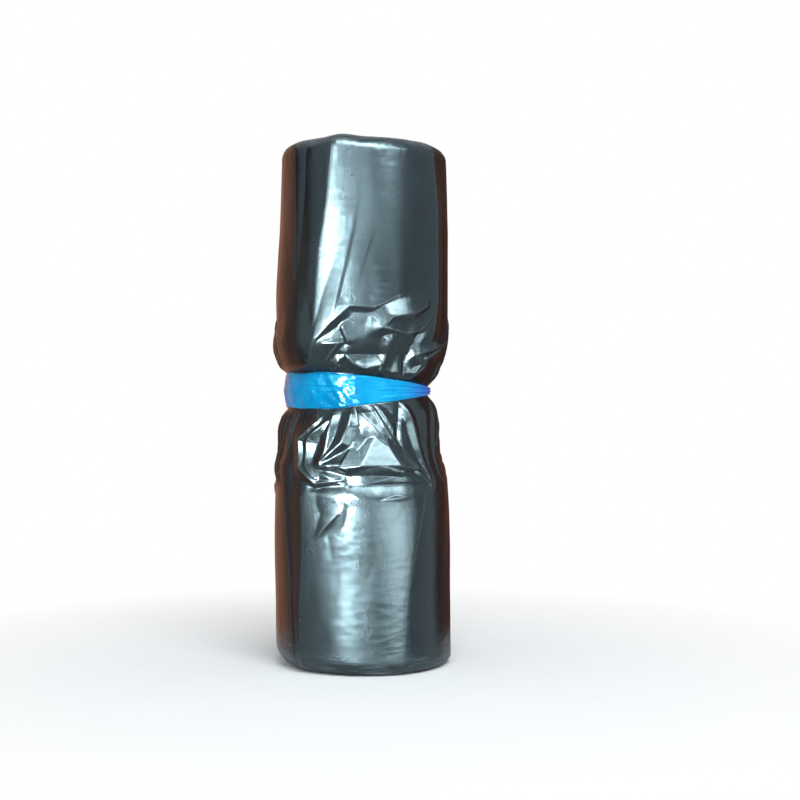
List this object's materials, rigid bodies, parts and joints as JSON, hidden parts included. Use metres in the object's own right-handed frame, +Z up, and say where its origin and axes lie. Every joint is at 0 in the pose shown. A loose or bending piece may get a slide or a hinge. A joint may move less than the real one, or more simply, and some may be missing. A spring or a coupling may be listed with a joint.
{
  "type": "roll of plastic carrier bags",
  "caption": "Roll of thin glossy black plastic carrier bags, drawn in at the waist by a knotted strip of blue film.",
  "frame": {"origin": "middle of the roll's lower end, on the surface that it stands on", "axes": "+Z up along the roll, front towards -Y, +X to the right as seen from the front"},
  "size_m": [0.1053, 0.1015, 0.302],
  "materials": {
    "film_black": "glossy thin film, creased",
    "film_blue": "glossy thin film, slightly translucent"
  },
  "bodies": {
    "root": {"bag_roll": "film_black", "tie_band": "film_blue"}
  },
  "joints": []
}
